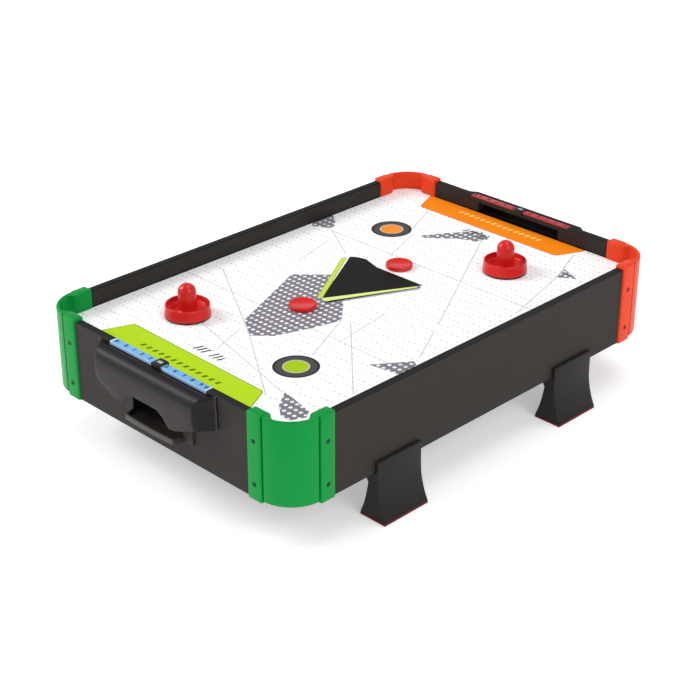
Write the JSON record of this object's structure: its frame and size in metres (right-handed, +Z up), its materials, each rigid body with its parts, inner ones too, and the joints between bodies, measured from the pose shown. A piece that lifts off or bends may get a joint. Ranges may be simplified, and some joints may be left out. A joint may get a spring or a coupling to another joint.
{
  "type": "tabletop air hockey game",
  "caption": "Shallow railed rink with rounded corner mouldings, end goal boxes, score sliders, clip-on flared legs, a fan under the playing panel, mallets and pucks.",
  "frame": {"origin": "centre of the footprint, on the surface the feet stand on", "axes": "+X across the rink to its right, +Y along it from the green end to the orange end, +Z up"},
  "size_m": [0.347, 0.513, 0.1398],
  "materials": {
    "rail_laminate": "satin, fine diagonal weave print",
    "green_plastic": "semi-gloss moulded",
    "orange_plastic": "semi-gloss moulded",
    "white_panel": "satin, printed",
    "bottom_board": "matt",
    "black_plastic": "satin moulded",
    "blue_strip": "satin, printed",
    "red_strip": "satin, printed",
    "dark_red_rubber": "matt",
    "red_plastic": "glossy moulded",
    "black_felt": "felt",
    "blackened_steel": "blackened",
    "motor_steel": "plated",
    "battery_sleeve": "printed sleeve"
  },
  "bodies": {
    "frame": {"rail_left": "rail_laminate", "rail_right": "rail_laminate", "rail_near_end": "rail_laminate", "rail_far_end": "rail_laminate", "corner_near_left": "green_plastic", "corner_near_right": "green_plastic", "corner_far_left": "orange_plastic", "corner_far_right": "orange_plastic", "playfield": "white_panel", "bottom_panel": "bottom_board", "goal_box_near": "black_plastic", "goal_box_far": "black_plastic", "leg_left_near": "black_plastic", "leg_left_far": "black_plastic", "leg_right_near": "black_plastic", "leg_right_far": "black_plastic", "fan_housing": "black_plastic", "fan_guard": "black_plastic", "battery_box": "black_plastic", "switch_body": "black_plastic", "score_strip_near": "blue_strip", "score_strip_far": "red_strip", "foot_pad_left_near": "dark_red_rubber", "foot_pad_left_far": "dark_red_rubber", "foot_pad_right_near": "dark_red_rubber", "foot_pad_right_far": "dark_red_rubber", "screw_near_right_a_low": "blackened_steel", "screw_near_right_a_high": "blackened_steel", "screw_near_right_b_low": "blackened_steel", "screw_near_right_b_high": "blackened_steel", "screw_far_right_a_low": "blackened_steel", "screw_far_right_a_high": "blackened_steel", "screw_far_right_b_low": "blackened_steel", "screw_far_right_b_high": "blackened_steel", "screw_far_left_a_low": "blackened_steel", "screw_far_left_a_high": "blackened_steel", "screw_far_left_b_low": "blackened_steel", "screw_far_left_b_high": "blackened_steel", "screw_near_left_a_low": "blackened_steel", "screw_near_left_a_high": "blackened_steel", "screw_near_left_b_low": "blackened_steel", "screw_near_left_b_high": "blackened_steel", "motor": "motor_steel", "battery_1": "battery_sleeve", "battery_2": "battery_sleeve", "battery_3": "battery_sleeve", "battery_4": "battery_sleeve"},
    "slider_near": {"score_slider_near": "black_plastic"},
    "slider_far": {"score_slider_far": "black_plastic"},
    "impeller": {"fan_impeller": "black_plastic"},
    "rocker": {"switch_rocker": "black_plastic"},
    "door": {"battery_door": "black_plastic", "door_screw": "blackened_steel"},
    "mallet_near_body": {"mallet_near": "red_plastic", "mallet_pad_near": "black_felt"},
    "mallet_far_body": {"mallet_far": "red_plastic", "mallet_pad_far": "black_felt"},
    "puck_near_body": {"puck_near": "red_plastic"},
    "puck_far_body": {"puck_far": "red_plastic"}
  },
  "joints": [
    {"name": "score_near", "type": "slide", "parent": "frame", "child": "slider_near", "axis": [1, 0, 0], "range_m": [-0.05, 0.05]},
    {"name": "score_far", "type": "slide", "parent": "frame", "child": "slider_far", "axis": [1, 0, 0], "range_m": [-0.05, 0.05]},
    {"name": "fan_spin", "type": "hinge", "parent": "frame", "child": "impeller", "pos_m": [0, 0, 0.07], "axis": [0, 0, 1], "continuous": true},
    {"name": "switch_rock", "type": "hinge", "parent": "frame", "child": "rocker", "pos_m": [-0.1598, -0.168, 0.086], "axis": [0, 0, 1], "range_deg": [-16, 0]},
    {"name": "door_off", "type": "slide", "parent": "frame", "child": "door", "axis": [0, 0, -1], "range_m": [0, 0.03]},
    {"name": "mallet_near_slide", "type": "slide", "parent": "frame", "child": "mallet_near_body", "axis": [1, 0, 0], "range_m": [-0.05, 0.208]},
    {"name": "mallet_far_slide", "type": "slide", "parent": "frame", "child": "mallet_far_body", "axis": [1, 0, 0], "range_m": [-0.19, 0.067]},
    {"name": "puck_near_slide", "type": "slide", "parent": "frame", "child": "puck_near_body", "axis": [0, 1, 0], "range_m": [-0.044, 0.052]},
    {"name": "puck_far_slide", "type": "slide", "parent": "frame", "child": "puck_far_body", "axis": [0, 1, 0], "range_m": [-0.045, 0.025]}
  ]
}
